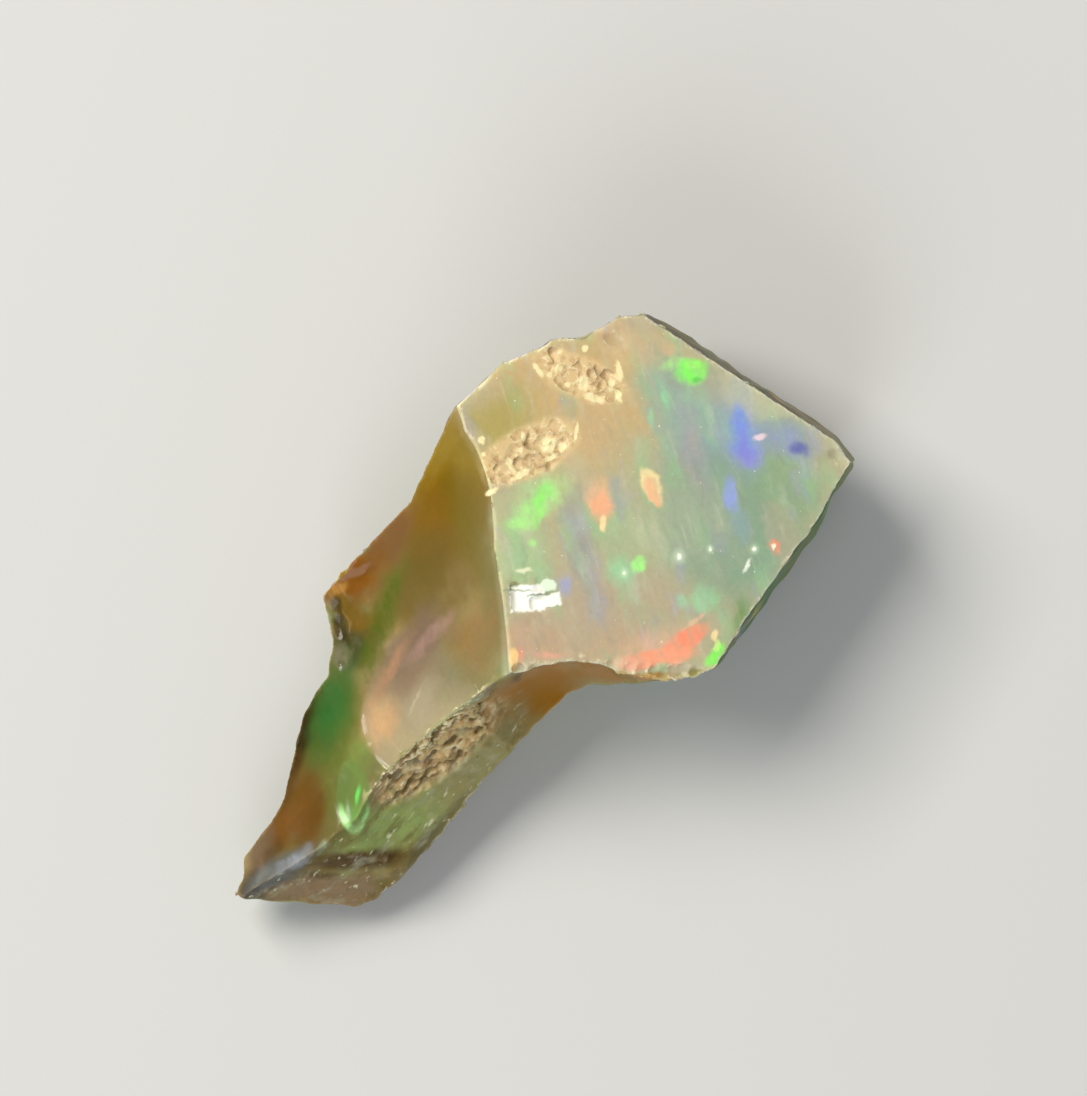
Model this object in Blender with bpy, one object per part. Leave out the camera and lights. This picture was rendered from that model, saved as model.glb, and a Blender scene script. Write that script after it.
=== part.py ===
"""Rough Ethiopian opal: one broken chip of precious opal, lying on its flat underside.

The chip starts as a blank with the stone's outline. Each broken face is then struck off it by a flake scar, which
is the shallow hollow that a blow leaves in glassy stone. Sizes are in millimetres until MM turns them into metres.
+X runs from the thin tail to the broad head, +Z is up, and the origin is on the surface that the stone lies on,
under the middle of it.
"""
import bmesh
import bpy
from mathutils import Vector

MM = 0.001

# Driving dimensions, in millimetres
LENGTH = 20.84
WIDTH = 10.28
BLANK_HEIGHT = 9.0
HEAD_HEIGHT = 6.5  # at the middle of the head face
TAIL_HEIGHT = 3.2  # at the crest near the tail's end
HEAD_TIP = LENGTH / 2
TAIL_TIP = -LENGTH / 2
LEFT = WIDTH / 2
RIGHT = -WIDTH / 2

# How hollow a broken face is: the radius of the ball that would fit it, in millimetres
FLAT = 150.0
FAINT = 60.0
SOFT = 25.0
PLAIN = 15.0
ROUND = 10.0
DEEP = 7.0
TIGHT = 3.0

WELD = 0.01
FINE_FACETS = 6
COARSE_FACETS = 5
LARGEST_COARSE_BALL = 12.0

# The corners of the outline seen from above, from the head's left corner round by the head's tip and the tail
OUTLINE = [
    (9.10, 3.20), (9.50, 2.05), (9.85, -0.30), (10.35, -2.20), (HEAD_TIP, -3.00), (10.36, -3.65),
    (10.10, -3.92), (9.15, -4.05), (8.05, -4.48), (5.25, -4.95), (3.60, RIGHT), (2.80, -4.83),
    (1.45, -3.76), (0.60, -2.97), (0.10, -2.74), (-3.30, -2.80), (-4.05, -2.97), (-6.80, -3.14),
    (-7.85, -3.02), (-8.30, -2.82), (-10.38, -0.40), (TAIL_TIP, -0.10), (-9.92, 0.13), (-9.50, 0.50),
    (-8.03, 0.70), (-7.55, 0.88), (-5.60, 2.11), (-4.80, 2.36), (-4.30, 2.40), (-3.55, 3.00),
    (-2.85, 4.10), (-2.10, 4.15), (0.72, 4.20), (3.38, LEFT), (5.25, 5.07), (6.32, 4.62),
    (6.63, 4.62), (7.33, 4.00), (8.36, 3.74),
]


def clear_scene():
    """Start from an empty scene."""
    for old in list(bpy.data.objects):
        bpy.data.objects.remove(old, do_unlink=True)


def new_collection(name):
    """A collection for one kind of object."""
    collection = bpy.data.collections.new(name)
    bpy.context.scene.collection.children.link(collection)
    return collection


def milky_opal():
    """The stone's own colour: milky and warm, with a glassy gloss."""
    material = bpy.data.materials.new("milky_opal")
    material.use_nodes = True
    shader = material.node_tree.nodes["Principled BSDF"]
    shader.inputs["Base Color"].default_value = (0.50, 0.46, 0.31, 1.0)
    shader.inputs["Roughness"].default_value = 0.22
    shader.inputs["Metallic"].default_value = 0.0
    return material


def outline_guide(collection):
    """The outline as a filled curve, raised to the blank's height and standing on z = 0."""
    curve = bpy.data.curves.new("outline", "CURVE")
    curve.dimensions = "2D"
    curve.fill_mode = "BOTH"
    curve.extrude = BLANK_HEIGHT / 2 * MM
    corners = curve.splines.new("POLY")
    corners.points.add(len(OUTLINE) - 1)
    for point, (x, y) in zip(corners.points, OUTLINE):
        point.co = (x * MM, y * MM, 0.0, 1.0)
    corners.use_cyclic_u = True
    guide = bpy.data.objects.new("outline", curve)
    guide.location.z = BLANK_HEIGHT / 2 * MM
    collection.objects.link(guide)
    bpy.context.view_layer.update()
    return guide


def solid_from(guide, name, collection):
    """A closed mesh object made from a filled curve, which it replaces."""
    evaluated = guide.evaluated_get(bpy.context.evaluated_depsgraph_get())
    mesh = bpy.data.meshes.new_from_object(evaluated)
    form = bmesh.new()
    form.from_mesh(mesh)
    bmesh.ops.remove_doubles(form, verts=form.verts, dist=WELD * MM)
    bmesh.ops.recalc_face_normals(form, faces=form.faces)
    form.to_mesh(mesh)
    form.free()
    solid = bpy.data.objects.new(name, mesh)
    solid.matrix_world = guide.matrix_world.copy()
    collection.objects.link(solid)
    bpy.data.objects.remove(guide, do_unlink=True)
    return solid


def hollow(name, centre, radii, heading=0.0):
    """Strike one hollow off the stone: a rounded cutter that is radii along, across and up, turned by heading."""
    facets = COARSE_FACETS if max(radii) <= LARGEST_COARSE_BALL else FINE_FACETS
    bpy.ops.mesh.primitive_ico_sphere_add(subdivisions=facets, radius=1.0)
    cutter = bpy.context.object
    cutter.name = name
    cutter.scale = Vector(radii) * MM
    cutter.rotation_euler.z = heading
    cutter.location = Vector(centre) * MM
    cutter.hide_render = True
    cutter.display_type = "WIRE"
    for owner in list(cutter.users_collection):
        owner.objects.unlink(cutter)
    flake_scars.objects.link(cutter)
    cut = opal.modifiers.new(name, "BOOLEAN")
    cut.operation = "DIFFERENCE"
    cut.solver = "EXACT"
    cut.object = cutter


def face(name, spot, facing, radius):
    """Strike off one broken face: it passes through spot, looks towards facing and is as hollow as radius says."""
    centre = Vector(spot) + Vector(facing).normalized() * radius
    hollow(name, centre, (radius, radius, radius))


def strike_top():
    """The head's broad face, the long hollow to the left of it and the green and tail hollows below that."""
    face("head_face", (5.0, 0.0, HEAD_HEIGHT), (0.089, -0.145, 1.0), FLAT)
    hollow("left_hollow", (-3.8, 4.85, 10.4), (14.0, 7.0, 7.0), heading=1.0)
    hollow("green_hollow", (-20.4, 2.5, 8.7), (24.0, 8.0, 8.0), heading=0.1)
    hollow("tail_top", (-17.7, 4.55, 9.1), (18.0, 8.0, 8.0), heading=-0.3)


def strike_right_side():
    """The pitted skin under the crest, the scoop at the waist and the tail's sloping end."""
    hollow("pitted_skin", (-5.2, -7.45, 8.85), (10.0, 8.0, 8.0), heading=-0.6)
    hollow("waist_scoop", (-1.4, -4.1, 5.8), (TIGHT, TIGHT, TIGHT))
    face("tail_flank", (-7.0, -1.6, 2.9), (-0.25, -0.65, 1.0), ROUND)
    face("tail_end", (-8.2, -0.65, TAIL_HEIGHT), (-0.55, -0.95, 1.0), FAINT)


def strike_walls():
    """The walls between the top and the underside, from the head round to the left."""
    face("head_wall", (9.7, 0.5, 4.0), (0.975, 0.19, 0.10), FLAT)
    face("tip_wall", (10.3, -3.3, 4.0), (0.98, -0.10, 0.10), SOFT)
    face("lower_tip_wall", (9.6, -3.97, 4.0), (0.26, -0.96, 0.10), SOFT)
    face("right_head_wall", (7.5, -4.5, 3.5), (0.15, -0.98, 0.10), FAINT)
    face("right_waist_wall", (2.0, -3.9, 3.4), (-0.62, -0.75, -0.30), TIGHT)
    face("waist_wall", (0.2, -2.9, 1.9), (-0.35, -0.85, -0.45), DEEP)
    face("right_tail_wall", (-5.5, -3.0, 1.2), (0.0, -0.85, -0.50), PLAIN)
    face("tail_end_wall", (-9.3, -1.7, 1.1), (-0.65, -0.60, -0.45), PLAIN)
    face("left_tail_wall", (-6.5, 1.5, 1.9), (-0.35, 0.75, -0.55), PLAIN)
    face("left_waist_wall", (1.5, 4.3, 3.2), (-0.15, 0.90, -0.40), PLAIN)
    face("left_head_wall", (5.3, 5.1, 7.0), (0.10, 0.95, -0.28), SOFT)
    face("left_tip_wall", (8.0, 3.95, 6.0), (0.45, 0.85, -0.25), SOFT)


def strike_underside():
    """The faces that lift the edges clear of the flat base."""
    face("under_tail", (-8.0, 0.0, 0.6), (-0.28, 0.0, -0.96), SOFT)
    face("under_left", (-1.5, 3.6, 1.2), (-0.10, 0.75, -0.66), SOFT)
    face("under_head", (9.3, 0.3, 2.4), (0.85, 0.15, -0.55), PLAIN)
    face("under_right", (6.5, -4.4, 2.3), (0.10, -0.85, -0.55), PLAIN)


clear_scene()
rough_opal = new_collection("rough_ethiopian_opal")
flake_scars = new_collection("flake_scars")
opal = solid_from(outline_guide(rough_opal), "opal", rough_opal)
opal.data.materials.append(milky_opal())
strike_top()
strike_right_side()
strike_walls()
strike_underside()
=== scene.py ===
# %% [markdown]
# # A chip of rough precious opal
#
# The object is one natural piece: a chip broken off a nodule of white-based precious opal. It has a broad
# head with one nearly flat broken face, a thin curved tail, a strip of the nodule's brown pitted skin along
# the crest, and soft patches of green, blue and orange fire that seem to float under the surface.
# The measured solid comes from the CAD frame. It has the right size and the right broken faces, but it is
# clean and grey. This lesson makes the detailed stone that stands for it, and then its milky finish.

# %% Load the frame
import math
import random

import bpy
import numpy as np
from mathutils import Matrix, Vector


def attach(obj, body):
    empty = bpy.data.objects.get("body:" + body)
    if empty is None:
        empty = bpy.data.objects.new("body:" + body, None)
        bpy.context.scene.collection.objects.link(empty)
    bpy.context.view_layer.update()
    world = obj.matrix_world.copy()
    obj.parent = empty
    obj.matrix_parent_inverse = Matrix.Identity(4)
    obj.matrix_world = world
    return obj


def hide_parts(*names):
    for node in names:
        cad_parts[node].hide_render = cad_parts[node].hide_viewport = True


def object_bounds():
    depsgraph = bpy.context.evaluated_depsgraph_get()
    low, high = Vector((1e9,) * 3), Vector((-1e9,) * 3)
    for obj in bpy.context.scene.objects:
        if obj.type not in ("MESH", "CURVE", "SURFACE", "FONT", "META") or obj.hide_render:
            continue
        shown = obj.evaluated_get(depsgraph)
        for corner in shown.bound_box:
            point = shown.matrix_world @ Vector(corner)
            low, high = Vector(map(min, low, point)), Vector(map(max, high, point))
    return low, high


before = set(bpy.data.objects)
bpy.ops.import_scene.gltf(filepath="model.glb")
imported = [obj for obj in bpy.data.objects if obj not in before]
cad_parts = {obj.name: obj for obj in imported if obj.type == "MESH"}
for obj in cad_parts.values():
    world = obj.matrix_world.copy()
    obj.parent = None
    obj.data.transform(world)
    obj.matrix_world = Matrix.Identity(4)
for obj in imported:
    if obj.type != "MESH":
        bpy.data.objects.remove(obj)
solid_box = [list(corner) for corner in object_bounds()]
print("the solid's box in metres:", solid_box)

# %% [markdown]
# ## Working in millimetres
#
# The chip is about 21 mm long, and Blender's voxel remesh can't go finer than a tenth of a millimetre in
# metres. So the stone is made a thousand times larger, with one unit for each millimetre, and it is brought
# back to its real size at the end. Every number below is then easy to check against a ruler.

# %% Helpers that select, resize and apply
MM_PER_METRE = 1000.0


def only(thing):
    """Select this object alone and make it the active one."""
    for other in list(bpy.context.selected_objects):
        other.select_set(False)
    thing.select_set(True)
    bpy.context.view_layer.objects.active = thing


def resize(thing, factor):
    """Make an object larger or smaller about the origin, in its mesh."""
    only(thing)
    thing.scale = (factor, factor, factor)
    bpy.ops.object.transform_apply(location=False, rotation=False, scale=True)


def finish_with(thing, kind, **settings):
    """Add one modifier, set it, and apply it."""
    step = thing.modifiers.new(kind.lower(), kind)
    for setting, value in settings.items():
        setattr(step, setting, value)
    only(thing)
    bpy.ops.object.modifier_apply(modifier=step.name)


def size_of(thing, scale=1.0):
    """An object's length, width and height, rounded for printing."""
    return [round(side * scale, 2) for side in thing.dimensions]


def triangles_in(thing):
    """How many triangles a mesh comes to."""
    return sum(len(face.vertices) - 2 for face in thing.data.polygons)


# %% Copy the solid's mesh and merge its loose triangles
WELD = 0.0005

sharp = bpy.data.objects.new("sharp_chip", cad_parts["opal"].data.copy())
bpy.context.scene.collection.objects.link(sharp)
sharp.data.materials.clear()
resize(sharp, MM_PER_METRE)
bpy.ops.object.mode_set(mode="EDIT")
bpy.ops.mesh.select_all(action="SELECT")
bpy.ops.mesh.remove_doubles(threshold=WELD)
bpy.ops.object.mode_set(mode="OBJECT")
print("sharp chip:", len(sharp.data.vertices), "points,", size_of(sharp), "mm")

# %% [markdown]
# ## Small breaks: hackly patches, bruises and chipped edges
#
# Opal is a glassy stone with no cleavage. Where a tool or another stone has hit it, it has small hackly
# patches of tiny flat-sided bites, and its edges have little shell-shaped chips. Such breaks could be
# painted on as a bump map, but then they would vanish from the side. Here they are cut away with a Boolean:
# a leaning box takes each flat-sided bite, and a ball takes each shell-shaped chip. Every facet then
# catches the light by itself.

# %% Helpers that find the surface and cut bites out of it
WELL_ABOVE = 20.0
DOWN = Vector((0.0, 0.0, -1.0))


def surface_at(x, y):
    """The place on the chip's top at x, y, and which way the surface faces there."""
    bpy.context.view_layer.update()
    hit, spot, facing, _ = sharp.ray_cast(Vector((x, y, WELL_ABOVE)), DOWN)
    return (spot, facing) if hit else (Vector((x, y, 0.0)), -DOWN)


def height_at(x, y):
    """How high the chip's top is at a place, in millimetres."""
    return surface_at(x, y)[0].z


HEAD_FACE_RISE = 7.003
HEAD_FACE_SLOPE = (-0.0889, 0.145)


def head_face_height(x, y):
    """How high the plane of the head's broad face is at a place."""
    return HEAD_FACE_RISE + HEAD_FACE_SLOPE[0] * x + HEAD_FACE_SLOPE[1] * y


def lump(place, half_size, turn, facets):
    """One faceted ball to cut with: the more facets, the smoother its bite."""
    bpy.ops.object.select_all(action="DESELECT")
    bpy.ops.mesh.primitive_ico_sphere_add(subdivisions=facets, radius=1.0, location=place, rotation=turn)
    ball = bpy.context.object
    ball.scale = half_size
    bpy.ops.object.transform_apply(location=True, rotation=True, scale=True)
    return ball


def strike(name, lumps):
    """Join the lumps and cut them all out of the sharp chip at once."""
    bpy.ops.object.select_all(action="DESELECT")
    for ball in lumps:
        ball.select_set(True)
    bpy.context.view_layer.objects.active = lumps[0]
    if len(lumps) > 1:
        bpy.ops.object.join()
    cutter = bpy.context.object
    finish_with(sharp, "BOOLEAN", operation="DIFFERENCE", solver="EXACT", use_self=True, object=cutter)
    bpy.data.objects.remove(cutter, do_unlink=True)
    print(name, "->", len(sharp.data.polygons), "faces")


# %% The hackly patches near the head's upper edge
BITE_LENGTH = (0.12, 0.3)
BITE_WIDTH = (0.07, 0.17)
BITE_HEIGHT = 0.5
MOST_LEAN = 0.42
LEAST_BITE = 0.35
TURN_ABOUT = 0.7
HACKLY_PATCHES = [
    ("by the ridge", 11, (3.99, 2.71), (1.3, 0.52), -17, 60, 0.085),
    ("by the edge", 5, (6.46, 3.24), (1.15, 0.4), -68, 48, 0.075),
]


def block(place, half_size, lean, heading, bite):
    """One leaning box to cut with, that bites this deep into the chip's top at a place."""
    top = height_at(*place)
    bpy.ops.object.select_all(action="DESELECT")
    bpy.ops.mesh.primitive_cube_add(size=2.0, location=(0.0, 0.0, 0.0))
    box = bpy.context.object
    box.scale = half_size
    box.rotation_euler = (lean[0], lean[1], heading)
    bpy.ops.object.transform_apply(location=False, rotation=True, scale=True)
    lowest = min(point.co.z for point in box.data.vertices)
    box.location = (*place, top - lowest - bite)
    bpy.ops.object.transform_apply(location=True, rotation=False, scale=False)
    return box


def hackly_patch(seed, place, half_size, heading, bites, depth):
    """Flat-sided bites scattered over an oval on the chip's top."""
    chance = random.Random(seed)
    blocks = []
    for _ in range(bites):
        reach = math.sqrt(chance.random())
        angle = chance.uniform(0.0, 2.0 * math.pi)
        along, across = half_size[0] * reach * math.cos(angle), half_size[1] * reach * math.sin(angle)
        x = place[0] + along * math.cos(heading) - across * math.sin(heading)
        y = place[1] + along * math.sin(heading) + across * math.cos(heading)
        size = (chance.uniform(*BITE_LENGTH), chance.uniform(*BITE_WIDTH), BITE_HEIGHT)
        lean = (chance.uniform(-MOST_LEAN, MOST_LEAN), chance.uniform(-MOST_LEAN, MOST_LEAN))
        bite = depth * chance.uniform(LEAST_BITE, 1.0)
        spin = heading + chance.gauss(0.0, TURN_ABOUT)
        blocks.append(block((x, y), size, lean, spin, bite))
    return blocks


for name, seed, middle, half_size, heading, bites, depth in HACKLY_PATCHES:
    blocks = hackly_patch(seed, middle, half_size, math.radians(heading), bites, depth)
    strike("hackly patch " + name, blocks)

# %% The bright bruise
BRUISE_BLOCKS = [
    ((1.2, -0.04), (0.46, 0.34, 0.4), (0.05, -0.03), -0.75, 0.045),
    ((1.45, -0.42), (0.38, 0.15, 0.4), (-0.08, 0.06), -0.62, 0.075),
    ((1.78, -0.14), (0.24, 0.16, 0.4), (0.1, 0.1), -0.85, 0.05),
    ((1.06, 0.33), (0.3, 0.05, 0.4), (0.25, 0.0), -0.78, 0.06),
]
strike("bruise", [block(*row) for row in BRUISE_BLOCKS])

# %% Smooth scoops: the drop-shaped hollow, the dents in the edges and the notch of the nub
SMOOTH_BALL = 4


def scoop(x, y, half_size, heading, depth):
    """One smooth lump that takes a shallow shell-shaped flake off the surface at x, y."""
    spot, facing = surface_at(x, y)
    middle = spot + facing * (half_size[2] - depth)
    return lump(tuple(middle), half_size, (0.0, 0.0, math.radians(heading)), SMOOTH_BALL)


SCOOPS = [
    (-6.15, -0.52, (1.5, 0.72, 0.9), 50, 0.17),
    (0.9, -0.6, (1.2, 0.7, 1.2), -45, 0.05),
    (7.86, 3.2, (0.5, 0.22, 0.3), -69, 0.09),
    (9.96, -3.3, (0.4, 0.2, 0.3), -57, 0.09),
    (-3.08, 3.02, (0.5, 0.26, 0.34), 48, 0.13),
    (-3.75, 2.3, (0.3, 0.18, 0.26), 60, 0.07),
]
for number, (x, y, half_size, heading, depth) in enumerate(SCOOPS):
    strike("scoop " + str(number + 1), [scoop(x, y, half_size, heading, depth)])

# %% The chipped lower edge of the head
LOWER_EDGE = [(-0.4, -1.2), (0.29, -1.99), (0.89, -2.4), (1.57, -3.12), (2.31, -4.01), (3.17, -4.83)]
CHIP_SEED = 3
CHIPS_PER_STRETCH = 4
CHIP_RADIUS = 0.15
CHIP_LENGTH = 1.5
CHIP_RISE = 0.6
CHIP_SIZES = (0.6, 1.3)
CHIP_LEAN = 0.4
CHIP_HEADINGS = (-0.9, 0.1)
STRAY = 0.06
ROUGH_BALL = 2


def edge_chips(seed, corners):
    """Little shell-shaped chips along an edge of the chip's top, between given corners."""
    chance = random.Random(seed)
    lumps = []
    for start, end in zip(corners, corners[1:]):
        for number in range(CHIPS_PER_STRETCH):
            share = (number + chance.uniform(0.1, 0.9)) / CHIPS_PER_STRETCH
            x = start[0] + (end[0] - start[0]) * share + chance.uniform(-STRAY, STRAY)
            y = start[1] + (end[1] - start[1]) * share + chance.uniform(-STRAY, STRAY)
            radius = CHIP_RADIUS * chance.uniform(*CHIP_SIZES)
            lean = (chance.uniform(-CHIP_LEAN, CHIP_LEAN), chance.uniform(-CHIP_LEAN, CHIP_LEAN))
            turn = (*lean, chance.uniform(*CHIP_HEADINGS))
            middle = (x, y, head_face_height(x, y) + radius * CHIP_RISE)
            lumps.append(lump(middle, (radius * CHIP_LENGTH, radius, radius), turn, ROUGH_BALL))
    return lumps


strike("chipped lower edge", edge_chips(CHIP_SEED, LOWER_EDGE))

# %% [markdown]
# ## An even skin of small faces
#
# The Booleans leave long thin triangles that can't be shaded or displaced well. A voxel remesh gives the
# stone an even net of small faces, but it dulls every ridge. So the new points are shrink-wrapped back on
# to the sharp chip, the faces along the ridges and in the rough places are cut finer, and they are wrapped
# again. One light smoothing leaves the ridges as crisp as broken glass that was in a pocket for a while.

# %% Remesh, and wrap back on to the sharp chip
VOXEL = 0.112

stone = bpy.data.objects.new("rough_opal", sharp.data.copy())
bpy.context.scene.collection.objects.link(stone)


def wrap_back(group=""):
    """Lay the stone's points back on to the sharp chip, all of them or those in a vertex group."""
    finish_with(stone, "SHRINKWRAP", target=sharp, wrap_method="NEAREST_SURFACEPOINT", vertex_group=group)


def soften(rounds, group=""):
    """Smooth the stone lightly, all of it or a vertex group."""
    finish_with(stone, "SMOOTH", factor=0.5, iterations=rounds, vertex_group=group)


finish_with(stone, "REMESH", mode="VOXEL", voxel_size=VOXEL)
wrap_back()
print("even net:", len(stone.data.polygons), "faces")


# %% Helpers that read the mesh and cut it finer
def points_of(thing):
    """All the points of a mesh, one row each."""
    flat = np.empty(len(thing.data.vertices) * 3)
    thing.data.vertices.foreach_get("co", flat)
    return flat.reshape(-1, 3)


def normals_of(thing):
    """Which way the surface faces at every point."""
    flat = np.empty(len(thing.data.vertices) * 3)
    thing.data.vertex_normals.foreach_get("vector", flat)
    return flat.reshape(-1, 3)


def corners_by_face(thing):
    """For every corner of every face: the face's number and the point's number."""
    points = np.empty(len(thing.data.loops), dtype=int)
    thing.data.loops.foreach_get("vertex_index", points)
    counts = np.empty(len(thing.data.polygons), dtype=int)
    thing.data.polygons.foreach_get("loop_total", counts)
    return np.repeat(np.arange(len(counts)), counts), points


def crispness(thing):
    """For every face, how well its own normal agrees with its points' normals: below 1 across a ridge."""
    faces, points = corners_by_face(thing)
    facing = np.empty(len(thing.data.polygons) * 3)
    thing.data.polygon_normals.foreach_get("vector", facing)
    facing = facing.reshape(-1, 3)
    agree = (facing[faces] * normals_of(thing)[points]).sum(axis=1)
    lowest = np.ones(len(thing.data.polygons))
    np.minimum.at(lowest, faces, agree)
    return lowest


def cut_finer(thing, wanted):
    """Subdivide the wanted faces once."""
    bpy.context.tool_settings.mesh_select_mode = (False, False, True)
    only(thing)
    thing.data.vertices.foreach_set("select", np.zeros(len(thing.data.vertices), dtype=bool))
    thing.data.edges.foreach_set("select", np.zeros(len(thing.data.edges), dtype=bool))
    thing.data.polygons.foreach_set("select", wanted)
    bpy.ops.object.mode_set(mode="EDIT")
    bpy.ops.mesh.subdivide(number_cuts=1, ngon=False, quadcorner="INNERVERT")
    bpy.ops.object.mode_set(mode="OBJECT")


# %% Helpers that say where a place on the stone lies
def oval(points, place, half_size, heading=0.0, blur=0.3):
    """How far inside a level oval each point lies: 1 well inside, 0 outside, and soft over blur."""
    x = points[:, 0] - place[0]
    y = points[:, 1] - place[1]
    turn = math.radians(heading)
    along = x * math.cos(turn) + y * math.sin(turn)
    across = y * math.cos(turn) - x * math.sin(turn)
    reach = np.sqrt((along / half_size[0]) ** 2 + (across / half_size[1]) ** 2)
    share = np.clip((1.0 + blur - reach) / (2.0 * blur), 0.0, 1.0)
    return share * share * (3.0 - 2.0 * share)


def ramp(values, low, high):
    """0 below low, 1 above high, and a soft step between them."""
    share = np.clip((values - low) / (high - low), 0.0, 1.0)
    return share * share * (3.0 - 2.0 * share)


def by_face(thing, weights):
    """The largest weight of each face's points."""
    faces, points = corners_by_face(thing)
    most = np.zeros(len(thing.data.polygons))
    np.maximum.at(most, faces, weights[points])
    return most


def faces_in(thing, region, least):
    """The faces that lie in a region by more than this share."""
    return by_face(thing, region(points_of(thing), normals_of(thing))) > least


# %% The rough places: each is an oval on the chip's top, given by its middle, half size and heading
BROKEN_OVALS = [
    ((4.04, 2.77), (1.48, 0.7), -20),
    ((6.46, 3.24), (1.3, 0.58), -67),
    ((1.4, -0.12), (0.75, 0.52), -45),
]
SKIN_OVAL = ((-3.55, -1.38), (2.2, 0.58), -6)
CREST_OVAL = ((-3.35, -0.66), (2.4, 0.36))
UPWARD = (0.0, 0.2)
OFF_THE_GROUND = (2.0, 2.5)
SKIN_SIDE = (0.12, 0.35)


def broken_patches(points, normals):
    """The two hackly patches and the bruise on the head."""
    patches = np.zeros(len(points))
    for middle, half_size, heading in BROKEN_OVALS:
        patches = np.maximum(patches, oval(points, middle, half_size, heading, blur=0.2))
    return patches * ramp(normals[:, 2], *UPWARD) * ramp(points[:, 2], *OFF_THE_GROUND)


def pitted_skin(points, normals):
    """The strip of brown skin under the crest, on the side that looks to the right of the tail."""
    strip = oval(points, *SKIN_OVAL, blur=0.22)
    return strip * ramp(-normals[:, 1], *SKIN_SIDE) * ramp(normals[:, 2], *UPWARD)


def crest_band(points, normals):
    """A narrow band along the crest, between the hollow and the skin."""
    return oval(points, *CREST_OVAL, blur=0.2) * ramp(normals[:, 2], *UPWARD)


def rough_strip(points, normals):
    """The skin and the crest above it."""
    return np.maximum(pitted_skin(points, normals), crest_band(points, normals))


# %% Cut the ridges and the rough places finer
CRISP = 0.93
FIRST_CUT = 0.3

wanted = crispness(stone) < CRISP
for region in (broken_patches, rough_strip):
    wanted |= faces_in(stone, region, FIRST_CUT)
cut_finer(stone, wanted)
wrap_back()
soften(1)
print("finer net:", triangles_in(stone), "triangles")

# %% Cut the rough places once more, so their small facets and pits stay crisp
SECOND_CUT = 0.55
GROUP_STEPS = 20


def weight_group(thing, name, weights):
    """Keep one weight per point as a vertex group, in even steps."""
    group = thing.vertex_groups.new(name=name)
    steps = np.round(weights * GROUP_STEPS).astype(int)
    for step in range(1, GROUP_STEPS + 1):
        group.add(np.flatnonzero(steps == step).tolist(), step / GROUP_STEPS, "REPLACE")


for region in (broken_patches, rough_strip):
    cut_finer(stone, faces_in(stone, region, SECOND_CUT))
weight_group(stone, "crumbled_group", broken_patches(points_of(stone), normals_of(stone)))
wrap_back("crumbled_group")
print("finest net:", triangles_in(stone), "triangles")

# %% [markdown]
# ## Painting where each kind of surface lies
#
# Later steps must know where the skin, the ridges, the walls and the head's face are. By hand this would be
# weight painting. Here each weight is worked out from the place and the normal of every point, and kept
# twice: as a vertex group that a modifier can use, and as an attribute that the finish can read.

# %% Helpers that paint, and that measure how the surface bends
def keep(name, weights):
    """Keep one number per point as an attribute of the stone."""
    layer = stone.data.attributes.new(name, "FLOAT", "POINT")
    layer.data.foreach_set("value", weights.astype(np.float32))


def paint(name, weights):
    """Keep one weight per point as a vertex group and as an attribute."""
    weight_group(stone, name + "_group", weights)
    keep(name, weights)
    print("painted", name, "on", int((weights > 0.5).sum()), "points")


def above_head_face(points):
    """How far each point is above the plane of the head's broad face; negative is below it."""
    return points[:, 2] - head_face_height(points[:, 0], points[:, 1])


def edge_ends(thing):
    """The two end points of every edge."""
    ends = np.empty(len(thing.data.edges) * 2, dtype=int)
    thing.data.edges.foreach_get("vertices", ends)
    return ends.reshape(-1, 2).T


def evened(thing, weights, rounds):
    """Share each point's weight with its neighbours, so that painted lines have no spikes."""
    first, second = edge_ends(thing)
    size = len(weights)
    count = np.bincount(first, minlength=size) + np.bincount(second, minlength=size)
    for _ in range(rounds):
        total = np.bincount(first, weights[second], size) + np.bincount(second, weights[first], size)
        weights = 0.5 * weights + 0.5 * total / np.maximum(count, 1)
    return weights


def bend_of(thing):
    """How sharply the surface bends at each point: above 0 on a ridge and below 0 in a hollow."""
    points, normals = points_of(thing), normals_of(thing)
    first, second = edge_ends(thing)
    step = points[second] - points[first]
    length = np.maximum(np.linalg.norm(step, axis=1), 1e-9)
    fall_first = -(step * normals[first]).sum(axis=1) / length
    fall_second = (step * normals[second]).sum(axis=1) / length
    total = np.bincount(first, fall_first, len(points)) + np.bincount(second, fall_second, len(points))
    count = np.bincount(first, minlength=len(points)) + np.bincount(second, minlength=len(points))
    return total / np.maximum(count, 1)


# %% Paint the kinds of surface
NUB_OVAL = ((-2.6, 3.2), (1.55, 1.1), 30)
FACET_PLACE = (-3.22, -0.26)
FACET_OVAL = (FACET_PLACE, (1.64, 1.72), -53)

points, normals = points_of(stone), normals_of(stone)
resting = 1.0 - ramp(points[:, 2], 0.02, 0.3)
ridges = ramp(bend_of(stone), 0.04, 0.16)
head_face = ramp(above_head_face(points), -0.42, -0.14) * ramp(normals[:, 2], 0.35, 0.75)
walls = 1.0 - ramp(normals[:, 2], 0.25, 0.6)
nub = oval(points, *NUB_OVAL, blur=0.35) * ramp(normals[:, 2], -0.2, 0.2)

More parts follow.
